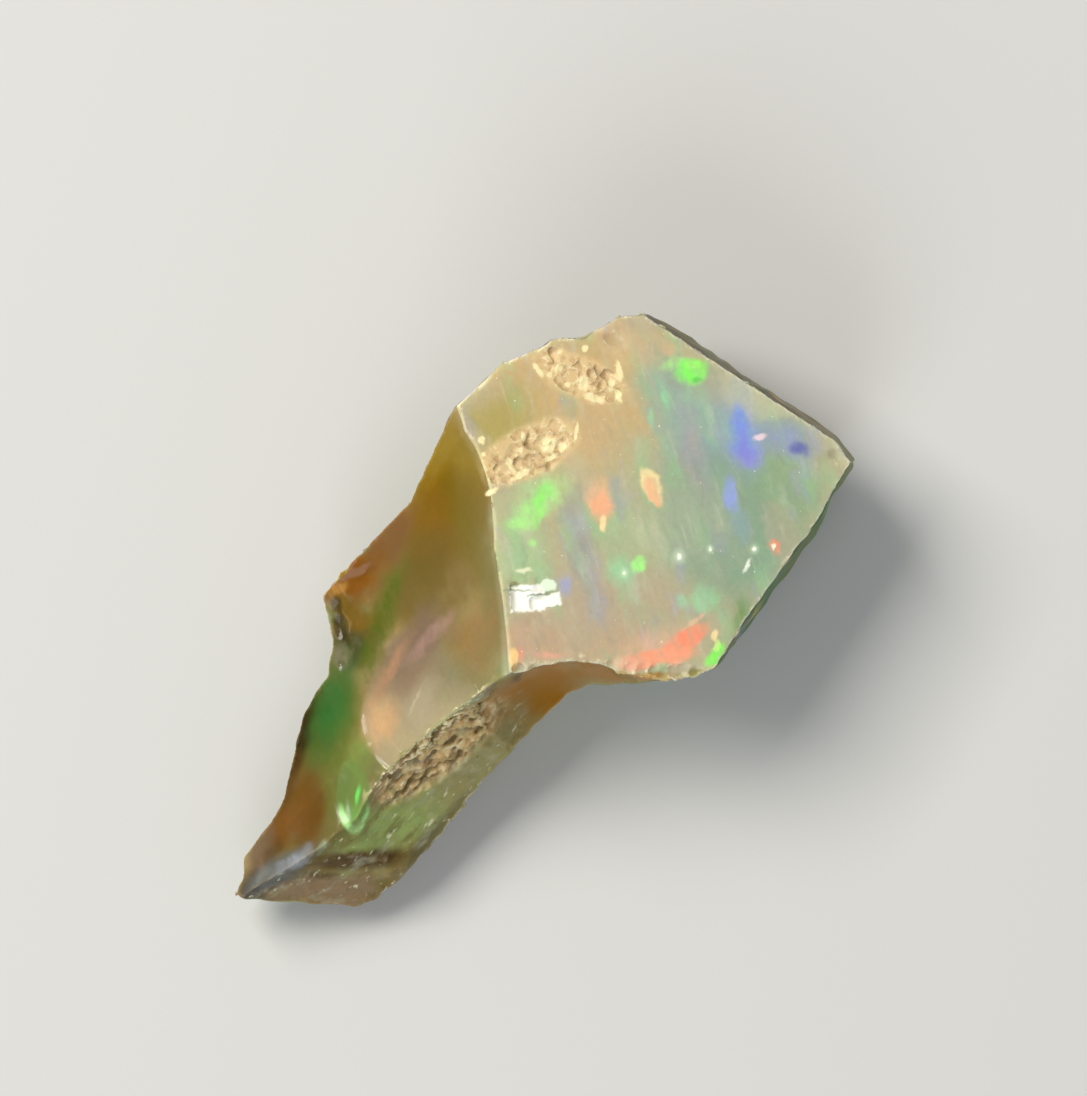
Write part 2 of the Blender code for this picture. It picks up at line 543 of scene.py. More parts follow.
paint("free", 1.0 - resting)
paint("ridges", ridges * (1.0 - resting))
paint("head_face", head_face)
paint("walls", walls)
paint("skin", pitted_skin(points, normals))
paint("broken", broken_patches(points, normals))
paint("nub", nub * (1.0 - 0.8 * ridges))
facet = oval(points, *FACET_OVAL, blur=0.04) * (1.0 - nub) * ramp(normals[:, 1], -0.3, -0.1)
up_the_hollow = (points[:, 0] - FACET_PLACE[0] + points[:, 1] - FACET_PLACE[1]) / math.sqrt(2.0)
paint("facet", facet * (1.0 - ramp(up_the_hollow, -0.1, 1.3)))
right_flank = ramp(-normals[:, 1], 0.1, 0.4) * ramp(normals[:, 2], 0.0, 0.25)
right_flank *= ramp(-points[:, 0], 0.6, 1.6)
paint("flank", right_flank * (1.0 - head_face) * (1.0 - ridges))

# %% [markdown]
# ## Relief: ripples, streaks, pits and worn ridges
#
# A broken face of opal is smooth but never flat: it has a slow swell, and faint straight streaks where the
# crack ran. The skin is the opposite, with round pits where it grew against the clay of its nodule. All of
# these are Displace modifiers with a procedural texture, each held to its own vertex group and applied at
# once. They push inwards, and a last step holds every point inside the box of the measured solid.

# %% Helpers for procedural relief
def clouds(name, size, detail, contrast=1.0, brightness=1.0):
    """A soft cloudy texture with features of about this size in millimetres."""
    pattern = bpy.data.textures.new(name, "CLOUDS")
    pattern.noise_scale = size
    pattern.noise_depth = detail
    pattern.contrast = contrast
    pattern.intensity = brightness
    return pattern


def rings(name, wobble):
    """Rings round a centre, bent a little by noise, as the ripples of a shell-shaped break are."""
    pattern = bpy.data.textures.new(name, "WOOD")
    pattern.wood_type = "RINGNOISE"
    pattern.noise_basis_2 = "SIN"
    pattern.noise_scale = 0.5
    pattern.turbulence = wobble
    return pattern


def space(name, place, heading, stretch):
    """A helper whose own space moves, turns and stretches a texture."""
    helper = bpy.data.objects.new(name, None)
    bpy.context.scene.collection.objects.link(helper)
    helper.location = place
    helper.rotation_euler = (0.0, 0.0, math.radians(heading))
    helper.scale = stretch
    bpy.context.view_layer.update()
    return helper


def press(pattern, group, depth, helper=None):
    """Push the surface in by up to depth millimetres, where the group says, in a texture's dark places."""
    settings = {"texture": pattern, "vertex_group": group + "_group", "strength": depth, "mid_level": 1.0}
    settings["texture_coords"] = "LOCAL"
    if helper is not None:
        settings.update(texture_coords="OBJECT", texture_coords_object=helper)
    finish_with(stone, "DISPLACE", **settings)
    if helper is not None:
        bpy.data.objects.remove(helper, do_unlink=True)


# %% Sink the facet, then press in the swell, the streaks of the crack and the ripples of the walls
CENTRE = (0.0, 0.0, 0.0)
CRACK_HEADING = 63.0
FACET_DEPTH = 0.06

sink = {"texture_coords": "LOCAL", "strength": -FACET_DEPTH, "mid_level": 0.0}
finish_with(stone, "DISPLACE", vertex_group="facet_group", **sink)
press(clouds("slow_swell", 3.0, 1), "free", 0.1)
crack_space = space("crack_space", CENTRE, CRACK_HEADING, (9.0, 1.0, 3.0))
press(clouds("crack_streaks", 0.4, 1), "head_face", 0.02, crack_space)
right_blow = space("right_blow", (9.0, -4.5, 6.5), 0.0, (2.2, 2.2, 3.0))
press(rings("wall_ripples", 3.0), "walls", 0.034, right_blow)
left_blow = space("left_blow", (-1.0, 4.6, 4.0), 0.0, (2.4, 2.4, 3.0))
press(rings("left_ripples", 3.0), "walls", 0.03, left_blow)

# %% Press in the roughness of the ridges, the flank, the nub and the skin
press(clouds("ridge_wear", 0.4, 1), "ridges", 0.04)
press(clouds("flank_grain", 0.28, 3, 1.6), "flank", 0.06)
press(clouds("nub_pits", 0.34, 2, 1.6), "nub", 0.1)
press(clouds("skin_lumps", 0.6, 2), "skin", 0.1)
before = points_of(stone)
skin_space = space("skin_space", CENTRE, 12.0, (1.8, 1.0, 1.0))
press(clouds("skin_pits", 0.24, 1, 2.5, 1.25), "skin", 0.15, skin_space)
pit_depth = np.linalg.norm(points_of(stone) - before, axis=1)
for rounds, group in ((1, "skin"), (2, "broken"), (2, "nub"), (2, "ridges")):
    soften(rounds, group + "_group")

# %% Hold every point inside the solid's box
low, high = (np.array(corner) * MM_PER_METRE for corner in solid_box)
held = np.clip(points_of(stone), low, high)
stone.data.vertices.foreach_set("co", held.ravel())
stone.data.update()
print("relief done:", size_of(stone), "mm")

# %% Keep how deep the pits are and how the finished surface bends: for darker pits, painted shade in hollows, and wear with painted highlights on ridges
CREST_LINE = ((-3.35, -0.72), (2.3, 0.3))

points, bend = points_of(stone), bend_of(stone)
keep("pits", ramp(pit_depth, 0.03, 0.11))
keep("wear_and_highlight", ramp(evened(stone, bend, 1), 0.03, 0.13))
keep("sunken", ramp(-bend, 0.03, 0.2))
crest = ramp(evened(stone, bend, 5), 0.006, 0.03)
keep("crest", crest * oval(points, *CREST_LINE, blur=0.3))
print("worn points:", int((bend > 0.15).sum()), " deep pits:", int((pit_depth > 0.1).sum()))

# %% Back to real size, and on to the frame
only(stone)
bpy.ops.object.shade_smooth()
resize(stone, 1.0 / MM_PER_METRE)
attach(stone, "root")
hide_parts("opal")
print("stone:", triangles_in(stone), "triangles,", size_of(stone, MM_PER_METRE), "mm")

# %% [markdown]
# ## The finish: milky opal with fire
#
# Precious opal is packed with tiny glass balls that split light into colours. The body is milky and
# slightly see-through, so light goes in, scatters and comes out soft: subsurface scattering does this. The
# colours are laid over each other as paint would be, from the body to the finest speck. Most of them are
# soft spots, each placed in millimetres on the stone. A spot turns and stretches the coordinates its own
# way, and the distance from its middle fades its colour out. Noise bends its outline, so none looks drawn.

# %% Start the material and its helpers
finish = bpy.data.materials.new("milky_opal")
finish.use_nodes = True
tree = finish.node_tree
shader = tree.nodes["Principled BSDF"]
COLOUR_A, COLOUR_B, COLOUR_OUT = 6, 7, 2


def add_node(kind, values=None, **settings):
    """Add one node, set it up, and link or fill its inputs."""
    made = tree.nodes.new(kind)
    for setting, value in settings.items():
        setattr(made, setting, value)
    for socket, value in (values or {}).items():
        if isinstance(value, bpy.types.NodeSocket):
            tree.links.new(value, made.inputs[socket])
        else:
            made.inputs[socket].default_value = value
    return made


def opaque(colour):
    """A colour as a node takes it: three numbers get a fourth, and a socket stays as it is."""
    return colour if isinstance(colour, bpy.types.NodeSocket) else (*colour, 1.0)


def over(colour, new_colour, cover, blend="MIX"):
    """Lay a new colour over the colour so far, as much as cover says."""
    values = {0: cover, COLOUR_A: opaque(colour), COLOUR_B: opaque(new_colour)}
    return add_node("ShaderNodeMix", values, data_type="RGBA", blend_type=blend).outputs[COLOUR_OUT]


def spread(value, low, high, lowest=0.0, highest=1.0):
    """Turn a value's range from low to high into a soft step from lowest to highest."""
    values = {"Value": value, "From Min": low, "From Max": high, "To Min": lowest, "To Max": highest}
    step = add_node("ShaderNodeMapRange", values, interpolation_type="SMOOTHSTEP", clamp=False)
    return step.outputs["Result"]


def vector_math(operation, first, second=None, third=None, output="Vector"):
    """Do one sum on whole vectors."""
    values = {0: first, 1: second, 2: third}
    values = {socket: value for socket, value in values.items() if value is not None}
    return add_node("ShaderNodeVectorMath", values, operation=operation).outputs[output]


def arithmetic(operation, first, second):
    """Do one sum on two values."""
    return add_node("ShaderNodeMath", {0: first, 1: second}, operation=operation).outputs[0]


def times(first, *others):
    """Multiply two values or more."""
    for other in others:
        first = arithmetic("MULTIPLY", first, other)
    return first


def larger(first, second):
    """The larger of two values."""
    return arithmetic("MAXIMUM", first, second)


def painted(name):
    """A weight that was painted on the stone."""
    return add_node("ShaderNodeAttribute", attribute_name=name).outputs["Fac"]


# %% Coordinates in millimetres, plain and wandering
place = add_node("ShaderNodeTexCoord")
mm = vector_math("MULTIPLY", place.outputs["Object"], (MM_PER_METRE, MM_PER_METRE, MM_PER_METRE))


def wander(size, reach, detail=2.0):
    """The coordinates, moved about by noise of this size by up to about this reach."""
    noise = add_node("ShaderNodeTexNoise", {"Vector": mm, "Scale": 1.0 / size, "Detail": detail})
    middle = vector_math("SUBTRACT", noise.outputs["Color"], (0.5, 0.5, 0.5))
    return vector_math("MULTIPLY_ADD", middle, (reach * 2, reach * 2, reach * 2), mm)


broad = wander(1.6, 0.85)
ragged = wander(0.6, 0.24, 4.0)
crisp = wander(0.9, 0.12)

# %% A helper that makes one soft spot
RIGHT_OF_VIEW = -45.0


def spot(where, x, y, half_size, tilt, strength, blur, depth, flat_sides=False):
    """The cover of one soft spot on the chip's top at x, y; tilt is in degrees from the camera's right."""
    middle = (x, y, height_at(x, y))
    sizes = (*half_size, depth)
    values = {"Vector": where, "Center": middle, "Angle": -math.radians(tilt + RIGHT_OF_VIEW)}
    turned = add_node("ShaderNodeVectorRotate", values, rotation_type="Z_AXIS").outputs["Vector"]
    shares = tuple(1.0 / size for size in sizes)
    shift = tuple(-at / size for at, size in zip(middle, sizes))
    own = vector_math("MULTIPLY_ADD", turned, shares, shift)
    if flat_sides:
        side = add_node("ShaderNodeSeparateXYZ", {0: vector_math("ABSOLUTE", own)}).outputs
        reach = larger(larger(side["X"], side["Y"]), side["Z"])
    else:
        reach = vector_math("LENGTH", own, output="Value")
    return spread(reach, 1.0 + blur, 1.0 - blur, 0.0, strength)


def tint(colour, rows, where, depth, held=None, flat_sides=False):
    """Lay many spots of colour: each row is a colour, a place, a half size, a tilt, a strength and a blur.

    The rows share one set of coordinates and one depth, and held keeps them to one kind of surface.
    """
    for new_colour, x, y, half_size, tilt, strength, blur in rows:
        cover = spot(where, x, y, half_size, tilt, strength, blur, depth, flat_sides)
        if held is not None:
            cover = times(cover, held)
        colour = over(colour, new_colour, cover)
    return colour


# %% [markdown]
# ## The body's colours
#
# The head is pale milk with warm, green and grey-blue drifts in it, because the glass balls are packed a
# little differently from place to place. The hollow, the waist and the tail are darker honey, olive and
# brown. One noise over the whole stone would mix the right colours in the wrong places. So noise only
# gives the ground, and each drift is a broad spot laid at its own place, held to the head or kept off it.

# %% The body colours
MILK = (0.51, 0.47, 0.3)
WARM_MILK = (0.66, 0.48, 0.235)
HONEY_MILK = (0.36, 0.26, 0.1)
TAIL_BROWN = (0.2, 0.115, 0.022)
VEIL = (0.46, 0.37, 0.19)
GREEN_MILK = (0.19, 0.27, 0.11)
SAGE = (0.46, 0.55, 0.32)
TEAL_MILK = (0.29, 0.42, 0.29)
ROSE_GREY = (0.55, 0.44, 0.31)
OLIVE = (0.27, 0.17, 0.001)
GOLDEN = (0.36, 0.155, 0.0)
DARK_BROWN = (0.045, 0.028, 0.001)
CREAM = (0.95, 0.84, 0.5)


def noise(size, detail=3.0, where=None):
    """Soft noise with features of about this size in millimetres."""
    values = {"Vector": where or mm, "Scale": 1.0 / size, "Detail": detail, "Roughness": 0.58}
    return add_node("ShaderNodeTexNoise", values).outputs["Fac"]


def along(heading, stretch, where):
    """Coordinates drawn out along a heading, so that noise turns into streaks."""
    values = {"Vector": where, "Rotation": (0.0, 0.0, math.radians(heading)), "Scale": (stretch, 1.0, 1.0)}
    return add_node("ShaderNodeMapping", values, vector_type="TEXTURE").outputs["Vector"]


drift = noise(3.2)
veils = noise(1.1, 4.0)
grain = noise(0.16, 4.0)
across = add_node("ShaderNodeSeparateXYZ", {0: mm})
facing = add_node("ShaderNodeSeparateXYZ", {0: place.outputs["Normal"]})
turned_away = spread(facing.outputs["Z"], 0.45, 0.1)
towards_tail = spread(across.outputs["X"], -2.5, -6.5)

body = over(HONEY_MILK, GREEN_MILK, spread(drift, 0.4, 0.6))
body = over(body, TAIL_BROWN, times(towards_tail, 0.7))
body = over(body, VEIL, spread(veils, 0.5, 0.7, 0.0, 0.4))
head_cover = painted("head_face")
body = over(body, MILK, head_cover)
below = arithmetic("SUBTRACT", 1.0, head_cover)

# %% Zones of the head
BROAD_DEPTH = 2.6
HEAD_ZONES = [
    (WARM_MILK, 6.0, 2.9, (2.6, 1.9), 20, 0.95, 0.5),
    ((0.7, 0.54, 0.29), 8.0, 2.7, (0.9, 0.7), -20, 0.7, 0.6),
    ((0.66, 0.49, 0.27), 5.2, 1.6, (1.0, 2.2), -15, 0.6, 0.6),
    (SAGE, 4.2, -0.9, (1.0, 1.9), 15, 0.8, 0.6),
    ((0.4, 0.5, 0.36), 7.4, 0.7, (0.6, 1.7), 10, 0.8, 0.6),
    (TEAL_MILK, 6.9, -2.4, (1.9, 2.6), -5, 0.95, 0.5),
    ((0.33, 0.44, 0.44), 8.3, -0.4, (1.7, 1.0), -25, 0.85, 0.5),
    ((0.42, 0.39, 0.4), 7.4, -0.4, (0.4, 1.3), 12, 0.6, 0.6),
    ((0.46, 0.49, 0.36), 5.9, -1.9, (0.9, 1.1), 12, 0.65, 0.7),
    ((0.57, 0.57, 0.39), 9.7, -0.9, (1.9, 0.42), -32, 0.8, 0.6),
    ((0.33, 0.45, 0.26), 8.3, -3.1, (0.8, 1.3), 10, 0.7, 0.6),
    ((0.2, 0.34, 0.12), 4.6, -4.5, (0.32, 0.65), 0, 0.8, 0.6),
    (ROSE_GREY, 2.6, -1.9, (2.0, 1.4), 0, 0.75, 0.6),
    ((0.38, 0.38, 0.37), 3.2, -0.1, (0.42, 1.6), 12, 0.7, 0.6),
    ((0.46, 0.62, 0.32), 1.75, 0.85, (0.75, 1.0), 10, 0.8, 0.6),
    ((0.6, 0.42, 0.27), 0.4, -1.0, (1.1, 0.5), 0, 0.8, 0.6),
    ((0.6, 0.44, 0.28), 2.0, -2.9, (1.3, 0.45), 0, 0.6, 0.7),
    ((0.5, 0.42, 0.13), 3.5, 3.9, (0.8, 1.4), -50, 0.85, 0.6),
]
body = tint(body, HEAD_ZONES, broad, BROAD_DEPTH, head_cover)

# %% Soft washes and streaks of colour that follow the way the crack ran
crack_run = along(CRACK_HEADING, 3.2, ragged)
hair_run = along(CRACK_HEADING, 9.0, mm)
WASHES = [
    ((0.34, 0.64, 0.34), 0.95, 0.5, 0.68, 0.4),
    ((0.62, 0.45, 0.35), 1.25, 0.52, 0.68, 0.32),
    ((0.4, 0.41, 0.54), 0.8, 0.54, 0.7, 0.4),
    ((0.66, 0.66, 0.5), 0.6, 0.54, 0.74, 0.34),
    ((0.27, 0.34, 0.28), 0.45, 0.56, 0.74, 0.26),
]
for new_colour, size, low, high, strength in WASHES:
    wash = spread(noise(size, 3.0, crack_run), low, high, 0.0, strength)
    body = over(body, new_colour, times(wash, head_cover))
hair = noise(0.22, 3.0, hair_run)
PALE_HAIR = (0.78, 0.78, 0.62)
DARK_HAIR = (0.32, 0.35, 0.29)
body = over(body, PALE_HAIR, times(spread(hair, 0.56, 0.8, 0.0, 0.24), head_cover))
body = over(body, DARK_HAIR, times(spread(hair, 0.44, 0.26, 0.0, 0.17), head_cover))

# %% Zones of the left hollow, the tail, the skin and the waist
LOWER_ZONES = [
    (OLIVE, 2.4, 4.0, (1.9, 1.3), 60, 0.98, 0.5),
    ((0.205, 0.1, 0.001), 0.9, 2.9, (1.7, 1.2), 45, 0.9, 0.5),
    ((0.16, 0.12, 0.003), 1.3, 2.2, (0.45, 1.6), 10, 0.8, 0.6),
    ((0.155, 0.105, 0.018), -0.7, 2.3, (1.6, 1.1), 40, 0.9, 0.5),
    ((0.19, 0.085, 0.025), -0.5, 3.8, (0.9, 0.45), 45, 0.85, 0.6),
    ((0.18, 0.15, 0.035), 0.7, 0.7, (0.45, 1.5), 5, 0.8, 0.6),
    ((0.26, 0.15, 0.04), -0.7, 0.0, (0.9, 1.1), 0, 0.8, 0.6),
    ((0.2, 0.13, 0.09), -2.2, 1.0, (0.7, 1.5), -35, 0.95, 0.6),
    ((0.25, 0.22, 0.12), -2.3, -0.1, (1.0, 0.8), 20, 0.8, 0.6),
    ((0.22, 0.075, 0.0), -1.9, 3.75, (0.95, 0.66), 35, 0.97, 0.45),
    ((0.1, 0.075, 0.004), -2.9, 2.5, (0.55, 0.9), 10, 0.85, 0.5),
    ((0.19, 0.105, 0.008), -2.4, 3.05, (0.42, 0.45), 20, 0.9, 0.5),
    ((0.075, 0.065, 0.022), -3.5, 2.5, (0.5, 0.6), 0, 0.95, 0.45),
    ((0.055, 0.12, 0.016), -5.1, 1.55, (0.78, 1.7), -14, 0.95, 0.6),
    ((0.12, 0.155, 0.022), -5.35, 0.75, (0.5, 1.3), -12, 0.85, 0.7),
    ((0.035, 0.03, 0.002), -5.9, 1.85, (0.28, 1.5), -20, 0.9, 0.6),
    ((0.09, 0.1, 0.012), -6.3, 0.95, (0.5, 0.8), -20, 0.8, 0.6),
    ((0.14, 0.16, 0.026), -6.35, 0.15, (0.85, 0.95), -20, 0.85, 0.7),
    ((0.145, 0.064, 0.004), -7.62, 0.28, (0.72, 1.15), -25, 0.95, 0.55),
    ((0.16, 0.14, 0.04), -7.35, -0.75, (0.45, 0.8), -45, 0.8, 0.6),
    ((0.17, 0.105, 0.055), -8.95, 0.35, (0.8, 0.4), 50, 0.9, 0.5),
    ((0.09, 0.052, 0.012), -8.5, -0.1, (0.42, 0.28), 30, 0.7, 0.6),
    ((0.055, 0.04, 0.025), -9.85, -0.45, (0.5, 0.8), 0, 0.97, 0.5),
    ((0.1, 0.06, 0.02), -8.45, -1.4, (0.5, 0.24), 4, 0.85, 0.5),
    ((0.28, 0.19, 0.1), -8.4, -2.0, (1.7, 0.45), 0, 0.95, 0.4),
    (GOLDEN, -0.6, -2.0, (1.35, 0.85), 30, 0.98, 0.5),
    ((0.38, 0.16, 0.002), 1.4, -3.1, (2.0, 0.6), 0, 0.9, 0.5),
    ((0.31, 0.28, 0.12), -3.2, -2.3, (2.1, 0.8), 45, 0.9, 0.5),
    ((0.33, 0.43, 0.14), -6.2, -1.9, (1.5, 0.7), 30, 0.85, 0.6),
]
body = tint(body, LOWER_ZONES, broad, BROAD_DEPTH, below)

# %% Narrow zones, placed more exactly: the dark left edge, the tail's grey-blue wedge, and the brown band, a painted shadow along the top of the tail's end facet
NARROW_DEPTH = 1.8
NARROW_ZONES_AND_SHADOW_BAND = [
    ((0.035, 0.018, 0.001), -6.3, 1.52, (0.2, 1.45), -14, 0.95, 0.6),
    ((0.125, 0.13, 0.12), -9.05, -0.52, (1.15, 0.34), 33, 0.95, 0.5),
    ((0.13, 0.125, 0.06), -5.1, -2.95, (1.6, 0.32), 45, 0.85, 0.5),
    # painted shadow: the brown band at the top of the tail's end facet
    ((0.09, 0.045, 0.004), -7.25, -1.88, (1.35, 0.28), 4, 0.97, 0.4),
]
body = tint(body, NARROW_ZONES_AND_SHADOW_BAND, crisp, NARROW_DEPTH, below)

# %% The shell-shaped facet by the crest, with its crisp left edge
FACET_GREY = (0.45, 0.36, 0.215)
FACET_ZONES = [
    ((0.27, 0.19, 0.115), -2.65, 0.45, (0.9, 0.9), -30, 0.8, 0.8),
    ((0.42, 0.36, 0.23), -3.0, -0.15, (0.6, 0.6), 0, 0.8, 0.8),
]
body = over(body, FACET_GREY, times(painted("facet"), 0.85))
body = tint(body, FACET_ZONES, broad, BROAD_DEPTH, below)

# %% [markdown]
# ## Fire on the head and in the hollow
#
# The fire is patches of pure colour with soft edges. A real flash moves as you turn the stone, but an
# exported model can't do that, so the patches are laid in the body. They could be scattered by chance, but
# the eye knows this stone by its green, blue and orange flashes, so each has a row of its own. A streaky
# noise that runs the way of the crack thins them a little, so that they lie in the milk and not on it.

# %% The fire: patches of pure colour on the head
GREEN_FIRE = (0.28, 0.97, 0.15)
PALE_GREEN = (0.5, 0.92, 0.32)
TEAL_FIRE = (0.38, 0.72, 0.42)
BLUE_FIRE = (0.25, 0.36, 0.78)
VIOLET_FIRE = (0.32, 0.34, 0.7)
ORANGE_FIRE = (0.97, 0.5, 0.29)
CORAL_FIRE = (0.99, 0.35, 0.21)
GOLD_FIRE = (0.98, 0.78, 0.42)
# white for the specks, and for the painted highlight on the bruise
WHITE_FIRE_AND_HIGHLIGHT = (0.97, 0.98, 0.88)

wide_streaks = spread(noise(0.3, 4.0, crack_run), 0.34, 0.6, 0.55, 1.0)
streaky = times(wide_streaks, spread(hair, 0.3, 0.55, 0.8, 1.0))

FIRE_DEPTH = 0.9
HEAD_FIRE = [
    ((0.4, 0.48, 0.66), 8.55, -0.95, (0.5, 0.95), 10, 0.6, 0.8),
    (BLUE_FIRE, 8.62, -0.72, (0.27, 0.52), 12, 1.0, 0.4),
    (VIOLET_FIRE, 8.2, -1.5, (0.42, 0.32), 0, 1.0, 0.55),
    (BLUE_FIRE, 8.42, -1.15, (0.34, 0.36), 0, 0.9, 0.6),
    ((0.32, 0.3, 0.74), 8.32, -1.28, (0.08, 0.42), 12, 0.7, 0.6),
    ((0.46, 0.46, 0.7), 8.95, -0.85, (0.07, 0.34), 12, 0.7, 0.6),
    ((0.35, 0.38, 0.58), 9.28, -2.05, (0.75, 0.46), -15, 0.85, 0.7),
    ((0.14, 0.16, 0.44), 9.33, -2.42, (0.26, 0.14), -25, 0.85, 0.7),
    ((0.36, 0.44, 0.78), 7.1, -1.9, (0.2, 0.45), 12, 1.0, 0.5),
    ((0.28, 0.44, 0.52), 6.72, -2.7, (0.26, 0.46), 20, 0.7, 0.7),
    (PALE_GREEN, 8.58, 1.66, (0.34, 0.16), 20, 0.7, 0.7),
    (GREEN_FIRE, 8.77, 1.2, (0.46, 0.38), 0, 1.0, 0.35),
    ((0.45, 0.98, 0.2), 8.9, 1.32, (0.2, 0.14), 10, 0.7, 0.6),
    ((0.08, 0.6, 0.07), 8.66, 0.92, (0.16, 0.06), 10, 0.8, 0.6),
    (ORANGE_FIRE, 8.72, 2.04, (0.13, 0.18), 20, 0.6, 0.7),
    ((0.95, 0.55, 0.33), 4.52, 0.62, (0.34, 0.46), 10, 0.9, 0.6),
    (ORANGE_FIRE, 4.34, 0.27, (0.3, 0.38), 15, 1.0, 0.5),
    (GOLD_FIRE, 4.08, -0.08, (0.1, 0.2), 0, 1.0, 0.4),
    (GOLD_FIRE, 5.76, -0.25, (0.25, 0.52), 24, 1.0, 0.3),
    ((0.97, 0.52, 0.3), 5.66, -0.42, (0.16, 0.38), 24, 1.0, 0.35),
    ((0.55, 0.8, 0.36), 3.3, 1.75, (1.0, 0.6), 38, 0.6, 0.7),
    (PALE_GREEN, 3.12, 1.57, (0.85, 0.32), 40, 0.75, 0.6),
    ((0.42, 0.95, 0.24), 3.02, 1.42, (0.14, 0.4), -6, 0.8, 0.6),
    (GREEN_FIRE, 3.4, 1.7, (0.3, 0.16), 38, 0.6, 0.7),
    (PALE_GREEN, 2.45, 1.62, (0.26, 0.14), 0, 0.7, 0.6),
    (PALE_GREEN, 2.3, 1.0, (0.1, 0.12), 0, 0.8, 0.7),
    (TEAL_FIRE, 3.48, -1.29, (0.4, 0.34), 0, 0.8, 0.7),
    ((0.45, 0.97, 0.3), 3.94, -1.52, (0.19, 0.25), -8, 1.0, 0.35),
    ((0.42, 0.44, 0.68), 2.12, -0.5, (0.19, 0.28), 0, 0.9, 0.6),
    ((0.48, 0.53, 0.5), 3.6, 0.48, (0.3, 0.34), 0, 0.6, 0.7),
    (TEAL_FIRE, 4.56, -3.48, (0.32, 0.36), 0, 0.9, 0.6),
    (TEAL_FIRE, 4.1, -3.1, (0.22, 0.2), 0, 0.6, 0.7),
    (TEAL_FIRE, 7.7, 1.25, (0.1, 0.28), 8, 0.8, 0.6),
    (TEAL_FIRE, 7.05, 1.09, (0.08, 0.24), 8, 0.7, 0.6),
    ((0.94, 0.52, 0.36), 2.75, -3.4, (1.0, 0.34), 14, 0.55, 0.8),
    (CORAL_FIRE, 3.42, -3.93, (0.66, 0.28), 30, 1.0, 0.3),
    ((0.99, 0.42, 0.25), 2.62, -3.78, (0.95, 0.24), 10, 1.0, 0.35),
    ((0.99, 0.62, 0.4), 3.95, -3.7, (0.34, 0.07), 40, 0.7, 0.5),
    ((0.92, 0.5, 0.36), 1.85, -3.28, (0.5, 0.2), 0, 0.6, 0.6),
    (GREEN_FIRE, 3.72, -4.78, (0.22, 0.36), -35, 1.0, 0.35),
    ((0.7, 0.98, 0.3), 3.95, -4.6, (0.1, 0.16), -20, 0.8, 0.5),
    (GOLD_FIRE, 4.1, -4.38, (0.08, 0.14), 0, 0.9, 0.5),
    ((0.95, 0.64, 0.3), -0.34, -0.92, (0.13, 0.3), 0, 1.0, 0.3),
    ((0.92, 0.36, 0.26), -0.1, -1.02, (0.1, 0.22), 0, 0.8, 0.6),
    ((0.92, 0.46, 0.34), 0.55, -1.55, (0.4, 0.1), 0, 0.6, 0.7),
    ((0.9, 0.36, 0.22), 6.92, -3.84, (0.14, 0.2), 0, 0.9, 0.5),
]
body = tint(body, HEAD_FIRE, ragged, FIRE_DEPTH, streaky)

# %% Fire of the hollow and the tail
LOWER_FIRE = [
    ((0.09, 0.15, 0.01), -1.35, 2.85, (0.26, 0.75), -35, 0.65, 0.8),
    ((0.085, 0.125, 0.004), -2.45, 2.2, (0.32, 1.35), -18, 0.9, 0.6),
    ((0.42, 0.26, 0.21), -1.45, 1.1, (0.2, 0.95), -42, 0.7, 0.6),
    ((0.44, 0.24, 0.13), -3.15, 1.15, (0.16, 1.15), -28, 0.8, 0.7),
    ((0.58, 0.36, 0.18), -4.15, 0.4, (0.44, 0.6), -15, 0.95, 0.7),
    ((0.03, 0.15, 0.025), -5.0, 1.55, (0.46, 1.15), -14, 0.8, 0.8),
    ((0.19, 0.3, 0.06), -5.35, 0.1, (0.3, 0.65), -10, 0.8, 0.7),
    ((0.24, 0.3, 0.1), -6.75, -1.65, (0.65, 0.3), 0, 0.6, 0.6),
    ((0.3, 0.32, 0.35), -8.6, -0.58, (0.6, 0.16), 38, 0.95, 0.6),
    ((0.32, 0.38, 0.24), -7.75, -0.9, (0.26, 0.1), 50, 0.9, 0.6),
    ((0.6, 0.46, 0.24), -4.95, -0.78, (0.4, 0.07), 45, 0.7, 0.6),
    ((0.22, 0.085, 0.008), -7.9, 0.2, (0.35, 0.6), -20, 0.6, 0.7),
    ((0.15, 0.07, 0.006), -6.95, 0.95, (0.25, 0.7), -20, 0.6, 0.7),
    ((0.6, 0.5, 0.36), -3.02, 0.14, (0.035, 0.5), -25, 0.4, 0.7),
    (DARK_BROWN, -3.05, 3.06, (0.24, 0.46), 14, 0.95, 0.6),
    (DARK_BROWN, -2.7, 3.66, (0.12, 0.26), 25, 0.8, 0.6),
    (DARK_BROWN, -0.55, -1.35, (0.3, 0.09), 38, 0.7, 0.6),
    ((0.22, 0.2, 0.12), -3.62, 2.48, (0.22, 0.32), 10, 0.8, 0.6),
    ((0.52, 0.28, 0.07), -2.35, 3.85, (0.3, 0.18), 30, 0.7, 0.6),
]
body = tint(body, LOWER_FIRE, ragged, FIRE_DEPTH, streaky)

